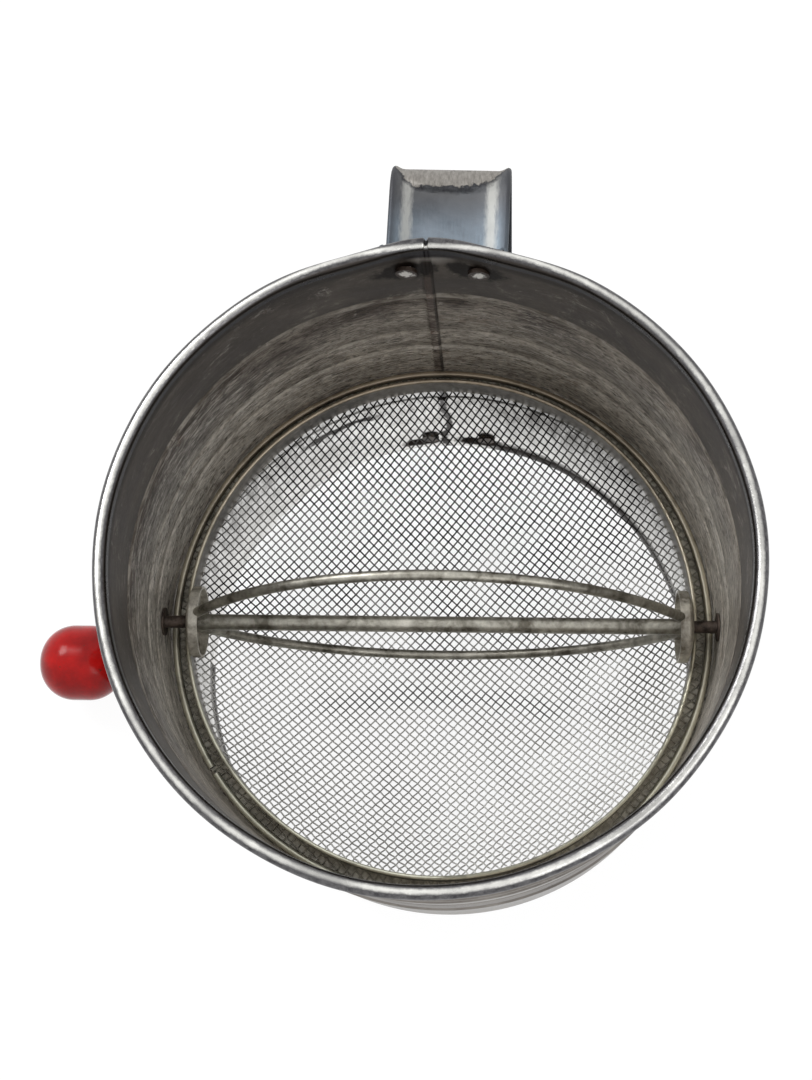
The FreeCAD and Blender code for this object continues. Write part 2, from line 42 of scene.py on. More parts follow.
# Sizes of the can, in millimetres
CAN_HEIGHT = 132.0
CAN_RADIUS = 67.5
WALL = 0.5
RIM_BEAD = 3.0
HEM_HEIGHT = 5.0
HEM_THICKNESS = 1.1
RIB_RISE = 0.6
RIB_HEIGHT = 2.4
RIB_LEVELS = (40.0, 77.0, 87.0, 109.0)
RIB_HIGHLIGHT_BELOW = 0.7
PLAIN_LEVELS = (22.0, 98.0, 120.0)
SEAT_RISE = 1.1
SEAT_HEIGHT = 2.4
SEAM_ANGLE = math.radians(90.85)
SEAM_LAP = 0.4
RIVET_HEIGHT = 123.3

# The can's steps around, which lie closer together within some millimetres of the seam.
# The even steps end a small angle before the close ones
CAN_STEPS = 288
SEAM_STEPS = 49
SEAM_HALF = 3.6
SEAM_CLEAR = 0.004

# The lap of the seam and the notch in the rim, in millimetres along the wall from the seam.
# The notch's depth is a share of the bead's radius
LAP_START, LAP_RISE = -0.7, 0.2
LAP_END, LAP_FALL = 2.0, 0.7
NOTCH_MIDDLE, NOTCH_HALF, NOTCH_DEPTH = 0.4, 0.55, 0.5

# The can out of round, in millimetres and radians. Dents have a depth, a number of waves around
# and a start. Pinches have a depth, an angle from the seam and a width
DENTS = ((0.22, 3, 0.4), (0.14, 7, 1.1), (0.1, 13, 0.0))
DENT_MOST = 0.46
DENT_SHARE = 0.5
PINCHES = ((0.7, 0.27, 0.18), (0.4, -0.3, 0.16))
PEAK, PEAK_WIDTH = 1.2, 0.15
BENT_FROM, BENT_OVER = 80.0, 45.0
PEAK_FROM, PEAK_OVER = 128.0, 2.0

# Sizes of the sieve, in millimetres
SCREEN_HEIGHT = 60.0
CLOTH = 0.9
BOWL_RADIUS = 60.2
BOWL_DEPTH = 30.0
FLANGE_RADIUS = 66.2
MESH_PITCH = 1.814
MESH_WIRE = 0.39
MESH_ANGLE = math.radians(48.8)
MESH_LIFT = MESH_WIRE / 2 * 0.92
WIRE_SIDES = 6

# The round middle of the cloth and the flat edge that it turns into
BOWL = (BOWL_RADIUS ** 2 + BOWL_DEPTH ** 2) / (2 * BOWL_DEPTH) + CLOTH / 2
BOWL_CENTRE = np.array((0.0, 0.0, SCREEN_HEIGHT - BOWL_DEPTH + BOWL - CLOTH / 2))
FLANGE = SCREEN_HEIGHT - CLOTH / 2
BOWL_TURN = math.acos((BOWL_CENTRE[2] - FLANGE) / BOWL)
BOWL_EDGE = BOWL * math.sin(BOWL_TURN)
CLOTH_TURN = BOWL_TURN + (FLANGE_RADIUS - BOWL_EDGE) / BOWL

# Swells of the wall: level, rise and height of each rib, then of the sieve's seat
SWELLS = [(level, RIB_RISE, RIB_HEIGHT) for level in RIB_LEVELS]
SWELLS.append((SCREEN_HEIGHT - CLOTH - SEAT_HEIGHT / 2, -SEAT_RISE, SEAT_HEIGHT))

# Sizes of the cloth's folded edge and the agitator's cups, in millimetres
HEM_INSIDE = 61.6
HEM_LIFT = 0.02
HEM_SHEET = 0.06
SHAFT = (-2.0, 70.3)
CUP_FACE = 60.85
CUP_DISH = 1.1
CUP_DEPTH = 3.7
CUP_RADIUS = 8.65
CUP_SHEET = 0.6
CUP_HOLE = 1.56
CUP_CORNER = 0.7
CUP_INNER_CORNER = (0.8, 1.4)

# Sizes of the handle, in millimetres
STRAP = 0.7
STRAP_WIDTH = 28.0
STRAP_GAP = 0.05
STRAP_SHEET = STRAP * 0.8
STRAP_FLAT = 5.0
EDGE_ROLL = 1.3
EDGE_FOLD = 0.5
EDGE_LIP = 1.5
EDGE_ROOM = 0.05
HANDLE_TURN = math.radians(-1.7)
HANDLE_REACH = 99.0
HANDLE_TOP = 128.0
HANDLE_BOTTOM = 2.5
UPPER_LEG = 110.5
LOWER_LEG = 20.5
HANDLE_BEND = 8.0
TAB_STRAIGHT = 4.0
LEG_STRAIGHT = 2.0
GRIP_LEVELS = (90.0, 65.0, 40.0)
RIVET_SPACING = 16.0

# The strap's middle pops up past a crease at the upper bend
POP_FROM, POP_OVER = 91.3, 0.9
POP_RISE, POP_HALF = 4.6, 12.0
POP_ABOVE = 95.0
POP_UNDER_EDGE = 0.75

# Grime on the back wall: angle, level, half width, half height and depth of colour
BACK = math.radians(90)
GRIME = (
    (BACK + 0.095, 123.2, 7.0, 3.8, 1.0),
    (BACK - 0.145, 123.4, 7.0, 3.8, 1.0),
    (BACK + 0.131, 4.4, 5.2, 2.2, 1.0),
    (BACK - 0.122, 4.4, 7.0, 2.4, 1.0),
    (BACK + 0.02, 125.5, 2.0, 2.6, 0.8),
)

# Where the can's colours change: heights, radii and half widths in metres, each from and to
PALER_BELOW = (0.112, 0.070)
SCOURED_LEVELS = (0.108, 0.088)
UPPER_BAND = (0.1078, 0.1098)
RIM_SHADOW_LEVELS = (0.1262, 0.1278)
RIB_HIGHLIGHT_AND_WEAR = (0.0013, 0.0005)
SEAM_RIDGE_AT, SEAM_RIDGE = -0.0006, (0.0011, 0.0007)
SEAM_SHADE_AT, SEAM_SHADE = 0.0011, (0.0005, 0.0002)
BELOW_SIEVE = (0.0575, 0.0570)
BELOW_SHADE = (0.004, 0.034)
SEAM_LINE = (0.0014, 0.0007)
STREAK_LEVEL, STREAK_LINE = 0.0325, (0.0022, 0.0012)
HEM_STEP_SHADOW = (0.0062, 0.0048)
OUTSIDE = (0.06715, 0.0674)
OUTER_RIM_SHADE = (0.1272, 0.1282)
RIM_LEVEL = (0.1288, 0.1292)

# The same for angles about the can and about the rim's bead, in radians
RIGHT_SHADE = (1.55, 1.2)
LEFT_SHADE = (1.8, 2.4)
STREAK_START, STREAK_END = (1.84, 1.90), (2.24, 2.14)
HEM_SHADOW_START = (1.46, 1.36)
BEAD_TOP, BEAD_HIGHLIGHT = 1.72, (0.50, 0.12)
BEAD_INSIDE = (2.25, 2.6)
BEAD_OUTSIDE_SHADE = (0.35, 0.05)

# The same for rings, cloth, handle and rivets, in metres
INNER_RING_TOP = (0.0664, 0.0667)
OUTER_RING_SIDE = (0.0632, 0.0636)
OUTER_RING_TOP = (0.0611, 0.0614)
CLOTH_BACK = (-0.035, 0.045)
CLOTH_EDGE = (0.0610, 0.0614)
CUP_DIRT_AT, CUP_DIRT = (-0.051, 0.007, 0.052), (0.012, 0.007)
ARC_CURVE, ARC_FRONT = -4.0, -0.013
ARC_WIDTH, ARC_END = (0.0035, 0.0012), (0.040, 0.026)
STRAP_NEAR = (0.094, 0.080)
STRAP_FAR = (0.0885, 0.0955)
STRAP_HIGH = (0.095, 0.100)
SLOPE_MIDDLE, SLOPE_HIGHLIGHT = 0.0098, (0.0022, 0.0004)
STRAP_EDGE = (0.0128, 0.0140)
PALE_FACE = (0.0925, 0.0930)
CREASE_SHADOW = (0.0911, 0.0925)
RIVET_MIDDLE = (0.0016, 0.0009)

# The camera that took the photograph, for a picture of 812 by 1080
CAMERA_PLACE = (18.18, -84.91, 459.82)
CAMERA_ELEVATION = math.radians(74.612)
CAMERA_YAW = math.radians(14.280)
CAMERA_ROLL = math.radians(-13.380)
FOCAL_PIXELS = 1653.1
PICTURE_HEIGHT = 1080
SENSOR = 36.0
NEAREST = 0.01

# Surroundings: the sky from horizon to zenith and its light, the floor, and the lamps with
# their place, size and power
SKY = (-0.1, 0.9, 0.15, 0.85)
FLOOR_SIZE, FLOOR_LEVEL = 6, -0.0002
FLOOR_GLOW, FLOOR_FAINT, FLOOR_PLAIN = 0.93, 0.11, 0.55
LAMPS = (("key", (-0.60, 0.45, 0.85), 0.45, 5.0), ("fill", (0.6, -0.5, 0.9), 0.8, 3.0))
LAMP_AIM = (0, 0, 0.07)


def tint(red, green, blue):
    """A colour given as screen values from 0 to 255, made linear."""
    linear = []
    for part in (red, green, blue):
        part = part / 255
        linear.append(part / 12.92 if part <= 0.04045 else ((part + 0.055) / 1.055) ** 2.4)
    return (*linear, 1.0)


class Tree:
    """Short ways to add and join the nodes of one material or world."""

    def __init__(self, owner):
        self.owner = owner
        owner.use_nodes = True
        self.nodes = owner.node_tree.nodes
        self.links = owner.node_tree.links

    def put(self, socket, given):
        """Set a socket to a constant, or join another node's output to it."""
        if isinstance(given, bpy.types.NodeSocket):
            self.links.new(given, socket)
        else:
            socket.default_value = given

    def add(self, kind, inputs=(), **settings):
        """Add one node with its settings and its inputs, by number or name."""
        node = self.nodes.new(kind)
        for name, setting in settings.items():
            setattr(node, name, setting)
        for number, given in dict(inputs).items():
            self.put(node.inputs[number], given)
        return node

    def math(self, operation, first, second=0.0):
        inputs = {0: first, 1: second}
        return self.add("ShaderNodeMath", inputs, operation=operation).outputs[0]

    def plus(self, first, second):
        return self.math("ADD", first, second)

    def minus(self, first, second):
        return self.math("SUBTRACT", first, second)

    def times(self, first, second):
        return self.math("MULTIPLY", first, second)

    def over(self, first, second):
        return self.math("DIVIDE", first, second)

    def most(self, first, second):
        return self.math("MAXIMUM", first, second)

    def absolute(self, given):
        return self.math("ABSOLUTE", given)

    def length(self, across, along):
        """The length of a line from its two parts at right angles."""
        square = self.plus(self.times(across, across), self.times(along, along))
        return self.math("SQRT", square)

    def place(self):
        """The point on the object, in metres, in the object's own frame."""
        return self.add("ShaderNodeTexCoord").outputs["Object"]

    def split(self, point):
        """The three parts of a point."""
        return self.add("ShaderNodeSeparateXYZ", {0: point}).outputs

    def cylinder(self):
        """The point as angle, radius and height about the can's axis."""
        x, y, z = self.split(self.place())
        return self.math("ARCTAN2", y, x), self.length(x, y), z

    def stretch(self, point, scale):
        return self.add("ShaderNodeMapping", {0: point, "Scale": scale}).outputs[0]

    def noise(self, point, scale, detail=4.0, rough=0.6, warp=0.0):
        inputs = {"Vector": point, "Scale": scale, "Detail": detail}
        inputs.update({"Roughness": rough, "Distortion": warp})
        return self.add("ShaderNodeTexNoise", inputs).outputs[0]

    def ragged(self, point, scale, detail, width):
        """Noise about zero that makes an edge uneven by a width."""
        return self.times(self.minus(self.noise(point, scale, detail, 0.7), 0.5), width)

    def ramp(self, factor, low, high, first=0.0, last=1.0):
        """Follow a factor from low to high, then hold."""
        inputs = {0: factor, 1: low, 2: high, 3: first, 4: last}
        return self.add("ShaderNodeMapRange", inputs).outputs[0]

    def mix(self, factor, first, second, blend="MIX"):
        inputs = {0: factor, 6: first, 7: second}
        node = self.add("ShaderNodeMix", inputs, data_type="RGBA", blend_type=blend)
        return node.outputs[2]

    def seen(self):
        """One where the eye looks, straight or by a mirror or glass, and zero for other light."""
        path = self.add("ShaderNodeLightPath")
        either = path.outputs["Is Camera Ray"]
        for kind in ("Is Glossy Ray", "Is Transmission Ray"):
            either = self.most(either, path.outputs[kind])
        return either

    def choose(self, factor, first, second, end):
        """Lead one of two shaders to the end of the tree."""
        inputs = {0: factor, 1: first.outputs[0], 2: second.outputs[0]}
        choice = self.add("ShaderNodeMixShader", inputs)
        self.put(self.nodes[end].inputs[0], choice.outputs[0])


class Look(Tree):
    """The tree of a material with one main shader."""

    def __init__(self, name):
        super().__init__(bpy.data.materials.new(name))
        self.shader = self.nodes["Principled BSDF"]

    def bump(self, height, strength, depth):
        inputs = {"Strength": strength, "Distance": depth, "Height": height}
        node = self.add("ShaderNodeBump", inputs)
        self.put(self.shader.inputs["Normal"], node.outputs[0])

    def finish(self, colour, metal, rough, gloss=0.5):
        self.put(self.shader.inputs["Base Color"], colour)
        self.put(self.shader.inputs["Metallic"], metal)
        self.put(self.shader.inputs["Roughness"], rough)
        self.shader.inputs["Specular IOR Level"].default_value = gloss
        return self.owner


class CanTin(Look):
    """Old tinplate: brown-grey and scratched on the walls, with a painted highlight on top of the
    rim.
    """

    def __init__(self):
        super().__init__("can_tin")
        self.angle, self.radius, self.height = self.cylinder()
        point = self.point = self.place()
        # Blotches, grain and flecks, and streaks and scuffs that run around the wall
        self.blotch = self.noise(self.stretch(point, (1.0, 1.0, 1.6)), 55, 6, 0.62, 0.3)
        self.grain = self.noise(point, 900, 3, 0.6)
        self.streak = self.noise(self.stretch(point, (0.5, 0.5, 3.0)), 230, 6, 0.75, 0.8)
        self.fleck = self.noise(self.stretch(point, (0.7, 0.7, 1.4)), 620, 5, 0.75, 0.5)
        self.scuff = self.noise(self.stretch(point, (0.8, 0.8, 1.0)), 150, 8, 0.85, 0.6)
        self.fine = self.noise(self.stretch(point, (0.35, 0.35, 1.8)), 1100, 4, 0.8)
        self.pale = self.ramp(self.streak, 0.50, 0.66)
        self.patch = self.ramp(self.noise(point, 34, 4, 0.55), 0.38, 0.6)
        self.from_seam = self.times(self.minus(self.angle, SEAM_ANGLE), CAN_RADIUS * MM)

    def wall(self):
        """The inside above the sieve: darker above, paler below and towards the front, with
        painted light making it paler to the right.
        """
        side = self.math("COSINE", self.angle)
        # Painted light makes the right side of the wall paler
        right = self.times(side, 0.24)
        left = self.ramp(side, -0.6, -0.9, 0.0, 0.5)
        front = self.ramp(self.math("SINE", self.angle), -0.1, -0.8, 0.0, 0.3)
        depth = self.ramp(self.height, *PALER_BELOW)
        uneven = self.ramp(self.blotch, 0.38, 0.62, -0.32, 0.32)
        lighter = self.plus(self.plus(self.plus(depth, right), uneven), front)
        colour = self.mix(self.ramp(lighter, -0.1, 1.0), tint(73, 64, 57), tint(174, 166, 155))
        # Both sides are scoured paler below the upper rib
        scoured = self.ramp(self.absolute(side), 0.55, 0.95)
        scoured = self.times(scoured, self.ramp(self.height, *SCOURED_LEVELS))
        scoured = self.times(scoured, self.ramp(self.streak, 0.38, 0.58, 0.15, 0.75))
        colour = self.mix(scoured, colour, tint(200, 197, 190))
        # Pale scratches, dark flecks, pale scuffs and rust
        where = self.ramp(self.plus(self.plus(self.patch, depth), left), 0.2, 1.4)
        scratch = self.times(self.pale, where)
        colour = self.mix(self.times(scratch, 0.85), colour, tint(208, 202, 193))
        colour = self.mix(self.ramp(self.fleck, 0.52, 0.64, 0.0, 0.75), colour, tint(46, 42, 38))
        scuffs = self.ramp(self.scuff, 0.57, 0.70, 0.0, 0.7)
        colour = self.mix(scuffs, colour, tint(196, 191, 184))
        rust = self.ramp(self.noise(self.point, 70, 5, 0.7), 0.60, 0.72)
        colour = self.mix(self.times(rust, 0.5), colour, tint(96, 70, 52))
        # Fine marks that run around the wall darken and lighten it all
        marks = self.ramp(self.fine, 0.40, 0.60)
        marks = self.mix(marks, (0.52, 0.51, 0.50, 1), (1.5, 1.5, 1.49, 1))
        colour = self.mix(1.0, colour, marks, "MULTIPLY")
        # The band above the upper rib is smoother and darker
        band = self.ramp(self.height, *UPPER_BAND)
        band = self.times(band, self.ramp(self.scuff, 0.52, 0.62, 0.92, 0.4))
        smooth = self.ramp(self.blotch, 0.36, 0.64)
        smooth = self.mix(smooth, tint(60, 54, 49), tint(88, 82, 76))
        return self.mix(band, colour, smooth)

    def lines(self, colour):
        """Painted highlights on the ribs broken up like wear, the seam's ridge and shade, and
        painted shadow under the rim.
        """
        # Painted highlights: pale lines just below the lower three ribs, broken up by streaks
        for level in RIB_LEVELS[1:]:
            away = self.absolute(self.minus(self.height, (level - RIB_HIGHLIGHT_BELOW) * MM))
            worn = self.ramp(self.streak, 0.42, 0.6, 0.15, 0.6)
            worn = self.times(self.ramp(away, *RIB_HIGHLIGHT_AND_WEAR), worn)
            colour = self.mix(worn, colour, tint(184, 178, 168))
        beside = self.plus(self.from_seam, SEAM_RIDGE_AT)
        ridge = self.ramp(self.absolute(beside), *SEAM_RIDGE)
        ridge = self.times(ridge, self.ramp(self.fine, 0.4, 0.6, 0.9, 0.3))
        colour = self.mix(ridge, colour, tint(74, 60, 53))
        shade = self.ramp(self.absolute(self.plus(beside, SEAM_SHADE_AT)), *SEAM_SHADE)
        shade = self.times(shade, self.ramp(self.blotch, 0.35, 0.6, 0.3, 0.85))
        colour = self.mix(shade, colour, tint(36, 31, 28))
        # Painted shadow: a dark line under the rim
        shadow_under_rim = self.ramp(self.height, *RIM_SHADOW_LEVELS)
        return self.mix(self.times(shadow_under_rim, 0.8), colour, tint(48, 43, 40))

    def below(self):
        """The inside below the sieve: bright, with shaded sides."""
        colour = self.ramp(self.blotch, 0.36, 0.64)
        colour = self.mix(colour, tint(214, 213, 210), tint(250, 249, 247))
        drip = self.noise(self.stretch(self.point, (2.5, 2.5, 0.7)), 170, 5, 0.7)
        aside = self.most(self.ramp(self.angle, *RIGHT_SHADE, 0.2, 0.8),
                          self.ramp(self.angle, *LEFT_SHADE, 0.0, 0.5))
        aside = self.plus(aside, self.ramp(drip, 0.4, 0.6, -0.25, 0.3))
        aside = self.times(aside, self.ramp(self.height, *BELOW_SHADE))
        colour = self.mix(aside, colour, tint(98, 96, 93))
        # A dark seam, a dark streak at the left and painted shadow along the hem's step at the
        # right
        wander = self.ragged(self.point, 110, 5, 0.009)
        seam = self.ramp(self.absolute(self.plus(self.from_seam, wander)), *SEAM_LINE)
        streak = self.plus(self.minus(self.height, STREAK_LEVEL), wander)
        streak = self.ramp(self.absolute(streak), *STREAK_LINE)
        streak = self.times(streak, self.ramp(self.angle, *STREAK_START))
        streak = self.times(streak, self.ramp(self.angle, *STREAK_END))
        hem = self.ramp(self.height, *HEM_STEP_SHADOW)
        hem = self.times(hem, self.ramp(self.angle, *HEM_SHADOW_START))
        dark = self.most(seam, self.most(streak, hem))
        return self.mix(dark, colour, tint(34, 29, 26))

    def grime(self, colour):
        """Dark ragged stains round the rivets."""
        spread = self.ragged(self.point, 300, 4, 1.4)
        for turned, level, half_width, half_height, weight in GRIME:
            across = self.over(self.minus(self.angle, turned), half_width / CAN_RADIUS)
            along = self.over(self.minus(self.height, level * MM), half_height * MM)
            reach = self.plus(self.length(across, along), spread)
            colour = self.mix(self.ramp(reach, 0.8, 1.15, weight, 0.0), colour, tint(26, 20, 16))
        return colour

    def outside(self):
        """The outer side: even grey tin with pale rubs and dark flecks."""
        colour = self.ramp(self.blotch, 0.34, 0.66)
        colour = self.mix(colour, tint(98, 93, 89), tint(134, 129, 123))
        rubs = self.times(self.times(self.pale, self.patch), 0.3)
        colour = self.mix(rubs, colour, tint(190, 187, 181))
        colour = self.mix(self.ramp(self.fleck, 0.58, 0.72, 0.0, 0.35), colour, tint(62, 57, 53))
        return self.mix(self.ramp(self.height, *OUTER_RIM_SHADE), colour, tint(34, 31, 32))

    def plain_radius(self):
        """The radius without the swells of the wall."""
        plain = self.radius
        for level, swell, tall in SWELLS:
            low, high = (level - tall / 2) * MM, (level + tall / 2) * MM
            part = self.ramp(self.height, low, high, -math.pi / 2, math.pi / 2)
            part = self.math("COSINE", part)
            plain = self.minus(plain, self.times(self.times(part, part), swell * MM))
        return plain

    def rim(self):
        """The bead: a painted highlight on top and towards the inside, and painted shade on its
        outer side.
        """
        bead = RIM_BEAD / 2
        rise = self.over(self.minus(self.height, (CAN_HEIGHT - bead) * MM), bead * MM)
        lean = self.over(self.minus(self.radius, (CAN_RADIUS - WALL + bead) * MM), bead * MM)
        turned = self.math("ARCTAN2", rise, lean)
        worn = self.minus(self.noise(self.point, 520, 5, 0.75), 0.5)
        # Painted highlight along the top of the bead, broken up by noise
        from_top = self.absolute(self.minus(turned, BEAD_TOP))
        bright = self.ramp(self.plus(from_top, self.times(worn, 0.7)), *BEAD_HIGHLIGHT)
        bright = self.times(bright, self.ramp(self.blotch, 0.34, 0.56, 0.5, 1.0))
        colour = self.mix(self.ramp(worn, -0.15, 0.15), tint(66, 65, 68), tint(112, 111, 112))
        colour = self.mix(self.ramp(turned, *BEAD_INSIDE), colour, tint(60, 56, 53))
        # Painted shade on the bead's outer side
        colour = self.mix(self.ramp(turned, *BEAD_OUTSIDE_SHADE), colour, tint(44, 43, 46))
        return self.mix(bright, colour, tint(232, 231, 226))

    def made(self):
        """All regions of the can in one material."""
        is_below = self.ramp(self.height, *BELOW_SIEVE)
        is_outside = self.ramp(self.plain_radius(), *OUTSIDE)
        is_rim = self.ramp(self.height, *RIM_LEVEL)
        colour = self.grime(self.mix(is_below, self.lines(self.wall()), self.below()))
        colour = self.mix(is_outside, colour, self.outside())
        colour = self.mix(is_rim, colour, self.rim())
        shiny = self.times(is_below, self.minus(1.0, is_outside))
        shiny = self.most(shiny, is_rim)
        metal = self.ramp(shiny, 0.0, 1.0, 0.45, 0.95)
        metal = self.most(metal, self.times(is_outside, 0.85))
        rough = self.plus(self.blotch, self.times(self.grain, 0.4))
        rough = self.ramp(rough, 0.4, 1.0, 0.36, 0.55)
        bare = self.most(shiny, self.times(is_outside, 0.8))
        rough = self.minus(rough, self.times(bare, 0.16))
        self.bump(self.plus(self.grain, self.times(self.streak, 1.5)), 0.25, 0.0001)
        return self.finish(colour, metal, rough, gloss=0.08)


def worn_tin(name, dark, light, rough=0.4, metal=0.85):
    """Tinned wire and strip with rubbed and tarnished patches."""
    tree = Look(name)
    point = tree.place()
    blotch = tree.noise(point, 160, 5, 0.65, 0.4)
    fine = tree.noise(point, 900, 3, 0.6)
    lighter = tree.ramp(tree.plus(blotch, tree.times(fine, 0.3)), 0.48, 0.82)
    colour = tree.mix(lighter, dark, light)
    spots = tree.ramp(tree.noise(point, 240, 4, 0.7), 0.64, 0.72)
    colour = tree.mix(tree.times(spots, 0.6), colour, tint(70, 58, 48))
    tree.bump(fine, 0.2, 0.00008)
    return tree.finish(colour, metal, tree.ramp(fine, 0.3, 0.7, rough - 0.08, rough + 0.12))


def ring_tin():
    """The sieve's rings: dull sides, with a painted yellowish highlight along their tops that is
    stronger at the front.
    """
    tree = Look("ring_tin")
    angle, radius, height = tree.cylinder()
    point = tree.place()
    blotch = tree.noise(point, 120, 5, 0.65, 0.4)
    fine = tree.noise(tree.stretch(point, (0.4, 0.4, 1.0)), 900, 4, 0.7)
    colour = tree.mix(tree.ramp(blotch, 0.36, 0.64), tint(84, 78, 70), tint(138, 132, 122))
    colour = tree.mix(tree.ramp(fine, 0.52, 0.7, 0.0, 0.6), colour, tint(176, 172, 160))
    # Painted highlight along the tops of both rings, paler and stronger towards the front
    inner_top = tree.ramp(height, *INNER_RING_TOP)
    outer_top = tree.ramp(radius, *OUTER_RING_SIDE)
    outer_top = tree.times(outer_top, tree.ramp(height, *OUTER_RING_TOP))
    front = tree.ramp(tree.math("SINE", angle), 0.9, -0.6)
    top = tree.most(inner_top, outer_top)
    top = tree.times(top, tree.ramp(front, 0.0, 1.0, 0.6, 1.0))
    top = tree.times(top, tree.ramp(blotch, 0.3, 0.5, 0.55, 1.0))
    bright = tree.mix(front, tint(166, 150, 128), tint(232, 231, 212))
    colour = tree.mix(top, colour, bright)
    tree.bump(fine, 0.2, 0.00008)
    rough = tree.ramp(fine, 0.3, 0.7, 0.3, 0.48)
    return tree.finish(colour, metal=0.75, rough=rough)


def sieve_wire():
    """Dull grey wire with painted shade that darkens it towards the back, and painted highlight
    patches.
    """
    tree = Look("sieve_wire")
    point = tree.place()
    x, y, _ = tree.split(point)
    # Painted shade: the wires darken towards the back
    back = tree.ramp(y, *CLOTH_BACK, 0.30, -0.14)
    tone_and_shade = tree.ramp(tree.plus(tree.noise(point, 60, 4, 0.6), back), 0.40, 0.70)
    colour = tree.mix(tone_and_shade, tint(18, 16, 15), tint(168, 167, 163))
    # Painted highlight patches on the wires, fewer towards the back
    sheen_patches = tree.ramp(tree.plus(tree.noise(point, 48, 3, 0.5, 0.6), back), 0.52, 0.76)
    colour = tree.mix(tree.times(sheen_patches, 0.9), colour, tint(238, 238, 235))
    # Dirt beside the left cup and a dark arc in front of the shaft
    spread = tree.ragged(point, 150, 4, 0.012)
    off = tree.add("ShaderNodeVectorMath", {0: point, 1: CUP_DIRT_AT}, operation="DISTANCE")
    dirt = tree.ramp(tree.plus(off.outputs["Value"], spread), *CUP_DIRT)
    bow = tree.plus(tree.times(tree.times(x, x), ARC_CURVE), ARC_FRONT)
    from_bow = tree.absolute(tree.minus(tree.plus(y, spread), bow))
    ends = tree.ramp(tree.absolute(x), *ARC_END, 0.0, 0.6)
    bow = tree.times(tree.ramp(from_bow, *ARC_WIDTH), ends)
    colour = tree.mix(tree.most(dirt, bow), colour, tint(26, 23, 21))
    # The flat edge under the rings is pale
    flat = tree.ramp(tree.length(x, y), *CLOTH_EDGE)
    colour = tree.mix(tree.times(flat, 0.85), colour, tint(186, 182, 168))
    return tree.finish(colour, metal=0.55, rough=0.5, gloss=0.2)


def handle_tin():
    """Bluish tinplate with painted highlights on its slopes, painted shade at its edges, and a
    paler face past a painted shadow along the upper bend's crease.
    """
    tree = Look("handle_tin")
    point = tree.place()
    blotch = tree.noise(point, 75, 5, 0.6, 0.5)
    fine = tree.noise(tree.stretch(point, (2.4, 0.5, 0.5)), 700, 5, 0.7)
    x, y, z = tree.split(point)
    across = tree.minus(x, tree.times(y, math.tan(-HANDLE_TURN)))
    high = tree.ramp(z, *STRAP_HIGH)
    colour = tree.mix(tree.ramp(blotch, 0.36, 0.66), tint(78, 83, 90), tint(126, 134, 143))
    near = tree.ramp(tree.plus(y, tree.times(blotch, 0.012)), *STRAP_NEAR)
    near = tree.times(near, tree.ramp(fine, 0.36, 0.6, 0.35, 0.9))
    colour = tree.mix(near, colour, tint(138, 152, 163))
    far = tree.ramp(tree.plus(y, tree.times(blotch, 0.010)), *STRAP_FAR, 0.0, 0.7)
    colour = tree.mix(tree.times(far, high), colour, tint(92, 90, 89))
    # Painted highlight lines on both slopes, and painted shade at the folded edges
    side = tree.absolute(across)
    slope = tree.absolute(tree.minus(side, SLOPE_MIDDLE))
    slope_highlight = tree.plus(tree.ramp(slope, *SLOPE_HIGHLIGHT), tree.times(fine, 1.1))
    slope_highlight = tree.ramp(tree.plus(slope_highlight, tree.times(blotch, 0.9)), 1.25, 1.95)
    colour = tree.mix(tree.times(slope_highlight, 0.75), colour, tint(178, 178, 174))
    edges = tree.ramp(tree.plus(side, tree.times(fine, 0.002)), *STRAP_EDGE)
    colour = tree.mix(tree.times(edges, 0.6), colour, tint(58, 59, 64))
    # The pale face starts past the crease of the bend, further in at the strap's middle
    curve = tree.absolute(tree.over(across, POP_HALF * MM))
    curve = tree.times(tree.math("POWER", curve, 4.0), POP_RISE * MM)
    past = tree.minus(y, tree.plus(curve, tree.ragged(point, 260, 4, 0.005)))
    pale = tree.times(tree.ramp(past, *PALE_FACE), high)
    # Painted shadow: a dark line along the crease before the pale face
    line = tree.times(tree.ramp(past, *CREASE_SHADOW), high)
    colour = tree.mix(tree.times(line, 0.85), colour, tint(40, 40, 44))
    face = tree.mix(tree.ramp(fine, 0.3, 0.7), tint(112, 108, 103), tint(162, 158, 152))
    colour = tree.mix(pale, colour, face)
    tree.bump(fine, 0.15, 0.0001)
    metal = tree.ramp(pale, 0.0, 1.0, 0.6, 0.3)
    rough = tree.ramp(blotch, 0.3, 0.7, 0.46, 0.62)
    return tree.finish(colour, metal, rough, gloss=0.2)


def rust_steel(name, dark, light):
    """Dull steel with light rust."""
    tree = Look(name)
    blotch = tree.noise(tree.place(), 500, 4, 0.65)
    colour = tree.mix(tree.ramp(blotch, 0.38, 0.62), dark, light)
    tree.bump(blotch, 0.4, 0.0001)
    return tree.finish(colour, metal=0.6, rough=0.5)


def rivet_tin():
    """Hammered rivets: a small bright middle in a dark, rusty rim."""
    tree = Look("rivet_tin")
    point = tree.place()
    x, _, z = tree.split(point)
    ragged = tree.ragged(point, 650, 4, 0.004)
    level = tree.minus(z, RIVET_HEIGHT * MM)
    middle = math.sin(-HANDLE_TURN) * CAN_RADIUS
    across = tree.absolute(tree.minus(x, middle * MM))
    across = tree.minus(across, RIVET_SPACING / 2 * MM)
    reach = tree.plus(tree.length(across, level), ragged)
    colour = tree.mix(tree.ramp(reach, *RIVET_MIDDLE), tint(58, 47, 40), tint(236, 233, 228))
    tree.bump(ragged, 0.6, 0.1)
    return tree.finish(colour, metal=0.5, rough=0.45)


